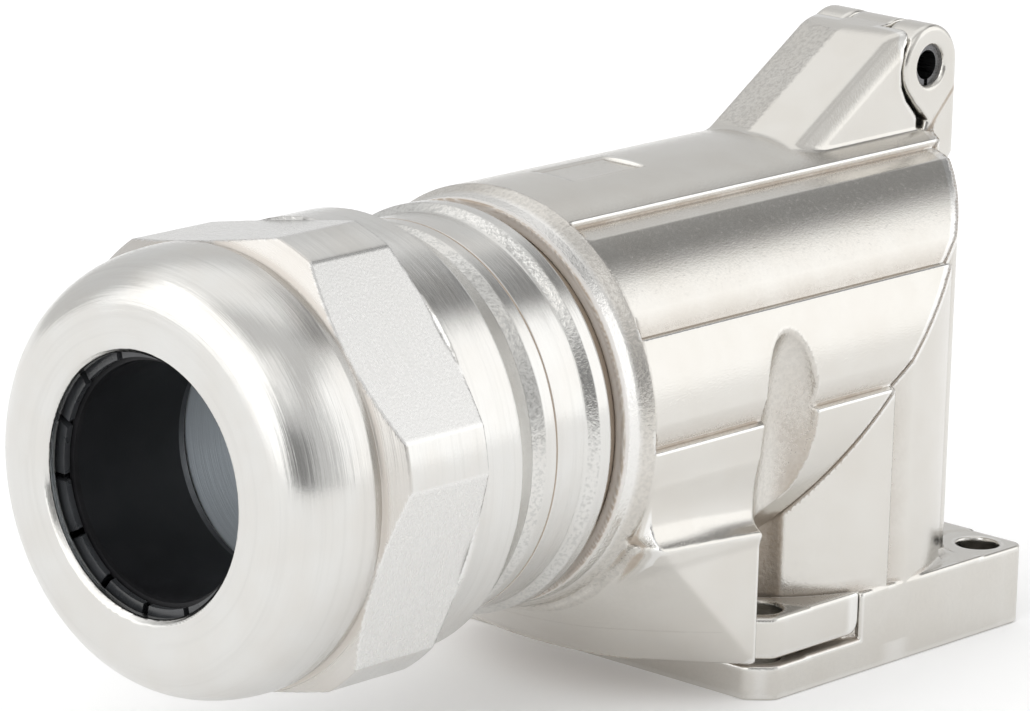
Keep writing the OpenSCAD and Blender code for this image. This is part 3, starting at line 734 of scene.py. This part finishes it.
class Nodes:
    """A short way to build the node tree of a new material, or of the world."""

    def __init__(self, name, tree=None):
        if tree is None:
            self.material = bpy.data.materials.new(name)
            self.material.use_nodes = True
            tree = self.material.node_tree
            self.shader = tree.nodes["Principled BSDF"]
        self.tree = tree

    def add(self, kind, settings=None, **inputs):
        """A new node's first output. An input goes by its name, or by its number as i0, i1 and so on."""
        node = self.tree.nodes.new(kind)
        for key, value in (settings or {}).items():
            setattr(node, key, value)
        for key, value in inputs.items():
            socket = node.inputs[int(key[1:])] if key[0] == "i" and key[1:].isdigit() else node.inputs[key]
            self.put(socket, value)
        return node.outputs[0]

    def put(self, socket, value):
        if isinstance(value, bpy.types.NodeSocket):
            self.tree.links.new(value, socket)
        else:
            socket.default_value = value

    def place(self, output="Object"):
        node = self.tree.nodes.new("ShaderNodeTexCoord")
        return node.outputs[output]

    def dot(self, vector, fixed):
        node = self.tree.nodes.new("ShaderNodeVectorMath")
        node.operation = "DOT_PRODUCT"
        self.put(node.inputs[0], vector)
        node.inputs[1].default_value = fixed
        return node.outputs["Value"]

    def noise(self, vector, scale, detail, rough):
        """Cloudy noise from about 0 to 1. The scale is the number of spots in a unit of the vector."""
        return self.add("ShaderNodeTexNoise", Vector=vector, Scale=scale, Detail=detail, Roughness=rough)

    def math(self, operation, a, b=0.0, c=0.0):
        return self.add("ShaderNodeMath", {"operation": operation}, i0=a, i1=b, i2=c)

    def ramp(self, value, low, high, to_low=0.0, to_high=1.0):
        return self.add("ShaderNodeMapRange", {"interpolation_type": "SMOOTHSTEP"}, i0=value, i1=low, i2=high,
                        i3=to_low, i4=to_high)

    def mix(self, factor, a, b):
        node = self.tree.nodes.new("ShaderNodeMix")
        node.data_type = "RGBA"
        self.put(node.inputs[0], factor)
        self.put(node.inputs[6], a)
        self.put(node.inputs[7], b)
        return node.outputs[2]

    def attribute(self, name):
        node = self.tree.nodes.new("ShaderNodeAttribute")
        node.attribute_name = name
        return node.outputs["Fac"]

    def bump(self, height, strength, distance, under=None):
        """A relief on top of the one under it. A height of 1 stands out by the distance, in metres."""
        inputs = {"Strength": strength, "Distance": distance, "Height": height}
        if under is not None:
            inputs["Normal"] = under
        return self.add("ShaderNodeBump", **inputs)

    def finish(self, **sockets):
        for key, value in sockets.items():
            self.put(self.shader.inputs[key.replace("_", " ")], value)
        return self.material


# Brown of painted shade: the dim warm light in recesses, gaps and creases of the nickel; it also darkens the
# neck's seam line
BROWN = (0.37, 0.29, 0.215, 1)
CAST_TONES = (0.67, 0.652, 0.615, 1), (0.645, 0.622, 0.58, 1)
# The last colour is a painted highlight for convex edges
CAST_CLOTS, CAST_EDGE_HIGHLIGHT = (0.50, 0.49, 0.465, 1), (0.86, 0.855, 0.84, 1)
TURNED_TONES = (0.69, 0.685, 0.665, 1), (0.665, 0.65, 0.62, 1)
TURNED_CLOTS, LATHE_MARKS = (0.56, 0.555, 0.535, 1), (0.60, 0.59, 0.565, 1)
MILLED_FLAT = (0.76, 0.755, 0.74, 1)
# Painted bluish light of the bore
BORE_PAINTED_LIGHT = (0.50, 0.53, 0.56, 1)
# Distances from the gland axis, in metres, between which the painted colour turns from brown shade to the bore's
# painted bluish light
INNER_FROM, INNER_TO = 0.0122, 0.0118
PIN_TONES = (0.13, 0.13, 0.135, 1), (0.20, 0.20, 0.205, 1)
RING_SCALE = 9000.0


def cast_nickel():
    """Satin plating on a casting: fine grain, painted brown shade in the hollows and the marked places, painted
    highlights on convex edges.
    """
    n = Nodes("cast_nickel")
    place = n.place()
    grain = n.noise(place, 6500, 2, 0.6)
    patches = n.noise(place, 220, 3, 0.55)
    specks = n.noise(place, 3600, 2, 0.6)
    clots = n.noise(place, 3400, 3, 0.65)
    hollow, grainy = n.attribute("hollow"), n.attribute("grain")
    # Painted shade: hollows and the marked places turn brown and less metallic
    painted_shade = n.math("MAXIMUM", n.math("MULTIPLY", n.ramp(hollow, 0.12, 0.7), 0.75), n.attribute("stain"))
    uneven = n.ramp(n.math("ADD", patches, n.math("MULTIPLY", specks, 0.5)), 0.5, 0.9, 0.65, 1.0)
    stain = n.math("MULTIPLY", painted_shade, uneven)
    # Painted highlight: convex edges are made lighter
    edge = n.ramp(hollow, -0.15, -0.6)
    tone = n.mix(n.ramp(patches, 0.3, 0.75), *CAST_TONES)
    tone = n.mix(n.math("MULTIPLY", n.ramp(clots, 0.42, 0.62), grainy), tone, CAST_CLOTS)
    tone = n.mix(stain, tone, BROWN)
    tone = n.mix(n.math("MULTIPLY", edge, 0.7), tone, CAST_EDGE_HIGHLIGHT)
    rough = n.math("ADD", n.ramp(specks, 0.3, 0.7, 0.18, 0.23), n.math("MULTIPLY", stain, 0.25))
    fine = n.bump(grain, 0.16, 0.00005)
    pits = n.bump(n.ramp(specks, 0.62, 0.75), 0.1, 0.00005, fine)
    normal = n.bump(n.math("MULTIPLY", clots, grainy), 0.5, 0.00016, pits)
    return n.finish(Metallic=n.math("SUBTRACT", 1.0, n.math("MULTIPLY", stain, 0.8)), Base_Color=tone,
                    Roughness=rough, Normal=normal)


def turned_nickel():
    """Satin plating over a turned surface: rings from the lathe, grainy milled flats, rough cast chamfers."""
    n = Nodes("turned_nickel")
    place = n.place()
    parts = n.tree.nodes.new("ShaderNodeSeparateXYZ")
    n.put(parts.inputs[0], place)
    across, along, up = parts.outputs
    up = n.math("SUBTRACT", up, AXIS_H * MM)
    radius = n.math("SQRT", n.math("ADD", n.math("MULTIPLY", across, across), n.math("MULTIPLY", up, up)))
    angle = n.math("ARCTAN2", up, across)
    rings = n.add("ShaderNodeCombineXYZ", X=n.math("MULTIPLY", radius, RING_SCALE),
                  Y=n.math("MULTIPLY", along, RING_SCALE), Z=n.math("MULTIPLY", angle, 2.5))
    lathe = n.noise(rings, 1.0, 3, 0.65)
    grain = n.noise(place, 5200, 2, 0.6)
    coarser = n.add("ShaderNodeVectorMath", {"operation": "MULTIPLY"}, i0=rings, i1=(0.22, 0.22, 0.22))
    turning = n.noise(coarser, 1.0, 2, 0.5)
    clots = n.noise(place, 3600, 3, 0.65)
    patches = n.noise(place, 240, 3, 0.5)
    flat, cast = n.attribute("flat"), n.attribute("rough")
    stain = n.attribute("stain")
    milled = n.math("MAXIMUM", flat, cast)
    tone = n.mix(n.ramp(patches, 0.3, 0.75), *TURNED_TONES)
    tone = n.mix(n.math("MULTIPLY", flat, 0.8), tone, MILLED_FLAT)
    strength = n.math("SUBTRACT", 0.3, n.math("MULTIPLY", milled, 0.3))
    tone = n.mix(n.math("MULTIPLY", n.ramp(turning, 0.5, 0.7), strength), tone, LATHE_MARKS)
    tone = n.mix(n.math("MULTIPLY", n.ramp(clots, 0.45, 0.62), cast), tone, TURNED_CLOTS)
    # Painted shade and light: marked places turn brown and less metallic, and bluish grey in the bore; the neck's
    # dark seam line is darkened the same way
    inner = n.ramp(radius, INNER_FROM, INNER_TO)
    tone = n.mix(n.math("MULTIPLY", stain, 0.9), tone, n.mix(inner, BROWN, BORE_PAINTED_LIGHT))
    rough = n.math("ADD", n.ramp(lathe, 0.3, 0.7, 0.15, 0.21), n.math("MULTIPLY", flat, 0.1))
    rough = n.math("ADD", rough, n.math("MULTIPLY", stain, 0.3))
    unmilled = n.math("SUBTRACT", 1.0, milled)
    lathe_cut = n.bump(n.math("MULTIPLY", lathe, unmilled), 0.4, 0.00004)
    turned = n.bump(n.math("MULTIPLY", turning, unmilled), 0.15, 0.0001, lathe_cut)
    lumps = n.bump(n.math("MULTIPLY", clots, cast), 0.4, 0.0001, turned)
    normal = n.bump(n.math("MULTIPLY", grain, n.ramp(milled, 0.0, 1.0, 0.15, 0.6)), 0.22, 0.00006, lumps)
    return n.finish(Metallic=n.math("SUBTRACT", 1.0, n.math("MULTIPLY", stain, 0.8)), Base_Color=tone,
                    Roughness=rough, Normal=normal)


def soft_black(name, colour, rough, sheen, scale):
    """Moulded rubber or plastic with a fine mould texture."""
    n = Nodes(name)
    place = n.place()
    grain = n.noise(place, scale, 3, 0.6)
    patches = n.noise(place, 400, 2, 0.5)
    tone = n.mix(n.ramp(patches, 0.3, 0.7), colour, tuple(c * 1.5 for c in colour[:3]) + (1,))
    return n.finish(Base_Color=tone, Roughness=n.ramp(patches, 0.3, 0.7, rough - 0.05, rough + 0.05),
                    Specular_IOR_Level=sheen, Normal=n.bump(grain, 0.15, 0.00005))


def pin_steel():
    """Dark spring steel, drawn along the pin."""
    n = Nodes("pin_steel")
    place = n.place()
    stretched = n.add("ShaderNodeVectorMath", {"operation": "MULTIPLY"}, i0=place, i1=(600, 9000, 9000))
    streaks = n.noise(stretched, 1.0, 2, 0.5)
    tone = n.mix(n.ramp(streaks, 0.3, 0.7), *PIN_TONES)
    return n.finish(Metallic=1.0, Base_Color=tone, Roughness=n.ramp(streaks, 0.3, 0.7, 0.25, 0.4),
                    Normal=n.bump(streaks, 0.2, 0.00004))


MATERIALS = {
    "cast_nickel": cast_nickel(),
    "turned_nickel": turned_nickel(),
    "pin_steel": pin_steel(),
    "black_plastic": soft_black("black_plastic", (0.035, 0.037, 0.040, 1), 0.30, 0.7, 3500),
    "black_rubber": soft_black("black_rubber", (0.008, 0.008, 0.009, 1), 0.45, 0.25, 5000),
}


def coat(piece, slot):
    piece.data.materials.clear()
    piece.data.materials.append(MATERIALS[slot])


# ---------------------------------------------------------------- pieces

def stand_in(piece, node, body, slot):
    """A detailed piece that shows in place of a CAD node."""
    coat(piece, slot)
    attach(piece, body)
    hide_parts(node)


def build_nut():
    low, high = box_mm("dome_nut")
    points, quads, normals = skin(nut_field, low, high, NUT_STEP)
    across, up, d = points[:, 0], points[:, 2] - AXIS_H, -points[:, 1]
    sector = (np.arctan2(up, across) - HEX_TURN) % (math.pi / 3) - math.pi / 6
    facing = np.hypot(across, up) * np.cos(sector)
    flat = fade(np.abs(facing - FLAT_R), 0.05, 0.02) * (d > FLATS_BACK) * (d < FLATS_FRONT)
    # Painted shade: the crease where the chamfer meets the dome, the chamfer in front of the flats and the dome's
    # shoulder are browned
    seam = 0.45 * fade(np.abs(d - SEAM_D), 0.45, 0.05) * (1 - flat)
    cone = 0.22 * (d > CONE_D) * (d < FLATS_FRONT) * (1 - flat)
    shoulder = 0.12 * fade(d, 57.5, 54.5) * (d > FLATS_FRONT)
    return mesh_piece("nut", points, quads, normals,
                      {"flat": flat, "stain": np.maximum.reduce([seam, cone, shoulder])})


stand_in(cast_piece("housing_lower", lower_field, lower_shade_and_grain, *box_mm("lower_housing")),
         "lower_housing", "base", "cast_nickel")
stand_in(cast_piece("housing_upper", upper_field, upper_shade_and_grain, *box_mm("upper_housing")),
         "upper_housing", "elbow", "cast_nickel")
stand_in(turned_piece("neck", neck_outline(), NECK_TURNS, neck_relief, neck_rough, neck_shade_and_seam),
         "gland_body", "elbow", "turned_nickel")
stand_in(build_nut(), "dome_nut", "nut", "turned_nickel")
for node, slot in (("hinge_pin", "pin_steel"), ("mitre_seal", "black_rubber"),
                   ("flange_seal", "black_rubber"), ("gland_o_ring", "black_rubber"),
                   ("claw_cage", "black_plastic"), ("sealing_insert", "black_rubber")):
    coat(frame["nodes"][node], slot)


# ---------------------------------------------------------------- camera, floor and lights

# The camera's place in metres, and its azimuth (0 is -Y and 90 is +X), elevation and roll in degrees
CAMERA_PLACE = (0.2664, -0.3210, 0.1282)
CAMERA_ANGLES = (42.01, 14.62, 1.62)
CAMERA_LENS, CAMERA_SENSOR = 205.8, 36


def build_camera():
    """A long lens from the front right, a little above, rolled slightly."""
    azimuth, elevation, roll = (math.radians(a) for a in CAMERA_ANGLES)
    back = Vector((math.sin(azimuth) * math.cos(elevation), -math.cos(azimuth) * math.cos(elevation),
                   math.sin(elevation)))
    right = Vector((math.cos(azimuth), math.sin(azimuth), 0))
    up = back.cross(right)
    x = right * math.cos(roll) + up * math.sin(roll)
    y = up * math.cos(roll) - right * math.sin(roll)
    data = bpy.data.cameras.new("camera")
    data.sensor_width = CAMERA_SENSOR
    data.lens = CAMERA_LENS
    camera = bpy.data.objects.new("camera", data)
    turn = Matrix((x, y, back)).transposed()
    camera.matrix_world = Matrix.Translation(CAMERA_PLACE) @ turn.to_4x4()
    bpy.context.scene.collection.objects.link(camera)
    bpy.context.scene.camera = camera


FLOOR_HALF, FLOOR_DROP, FLOOR_GLOW = 3.0, 0.00002, 0.14
FLOOR_TONES = (0.93, 0.93, 0.93, 1), (0.96, 0.96, 0.96, 1)


def build_floor():
    """White paper under the flange, a hair lower than it, and a little bright of itself."""
    bm = bmesh.new()
    bmesh.ops.create_grid(bm, x_segments=8, y_segments=8, size=FLOOR_HALF)
    mesh = bpy.data.meshes.new("floor")
    bm.to_mesh(mesh)
    bm.free()
    floor = bpy.data.objects.new("floor", mesh)
    floor.location.z = -FLOOR_DROP
    bpy.context.scene.collection.objects.link(floor)
    n = Nodes("floor")
    paper = n.noise(n.place(), 60, 2, 0.5)
    n.finish(Base_Color=n.mix(paper, *FLOOR_TONES), Roughness=0.9,
             Emission_Color=(1, 1, 1, 1), Emission_Strength=FLOOR_GLOW)
    mesh.materials.append(n.material)


AMBIENT = 0.74
# Soft panels of the surroundings: azimuth, elevation, half width, half height and edge in degrees, then how
# much each adds to the ambient light or takes from it
STUDIO = (
    (-12, 24, 42, 44, 10, 0.9),
    (139, 17, 22, 25, 8, 0.74),
    (-122, 66, 34, 20, 14, 0.42),
    (178, 43, 16, 12, 6, -0.46),
    (61, 4, 20, 23, 9, -0.44),
    (68, 52, 9, 14, 10, 0.5),
)


def studio_panel(n, direction, azimuth, elevation, half_width, half_height, edge):
    """A soft-edged rectangle of the surroundings, 1 inside and 0 outside. Azimuth 0 is -Y and 90 is +X."""
    a, e = math.radians(azimuth), math.radians(elevation)
    middle = Vector((math.sin(a) * math.cos(e), -math.cos(a) * math.cos(e), math.sin(e)))
    right = Vector((math.cos(a), math.sin(a), 0))
    up = middle.cross(right)
    ahead = n.dot(direction, middle)
    window = n.ramp(ahead, 0.05, 0.2)
    for side, half in ((right, half_width), (up, half_height)):
        across = n.math("ABSOLUTE", n.math("DIVIDE", n.dot(direction, side), n.math("MAXIMUM", ahead, 0.05)))
        inner, outer = (math.tan(math.radians(half + s * edge)) for s in (-0.5, 0.5))
        window = n.math("MULTIPLY", window, n.ramp(across, outer, inner))
    return window


def build_world():
    """A pale studio: even light with four brighter soft panels and two dimmer ones."""
    world = bpy.data.worlds.new("studio")
    bpy.context.scene.world = world
    world.use_nodes = True
    n = Nodes("studio", world.node_tree)
    direction = n.place("Generated")
    glow = AMBIENT
    for *place, strength in STUDIO:
        glow = n.math("MULTIPLY_ADD", studio_panel(n, direction, *place), strength, glow)
    background = world.node_tree.nodes["Background"]
    background.inputs["Color"].default_value = (1, 1, 1, 1)
    n.put(background.inputs["Strength"], glow)


def build_inner_light():
    """A small soft light in the elbow, as daylight that comes up through the open flange."""
    data = bpy.data.lights.new("inner_light", "AREA")
    data.shape = "DISK"
    data.size = 0.014
    data.energy = 0.003
    data.color = (0.88, 0.94, 1.0)
    light = bpy.data.objects.new("inner_light", data)
    light.location = (0, -0.008, AXIS_H * MM)
    light.rotation_euler = (math.radians(-90), 0, 0)
    light.visible_camera = False
    bpy.context.scene.collection.objects.link(light)


build_camera()
build_floor()
build_inner_light()
build_world()
bpy.context.scene.view_settings.view_transform = "Standard"
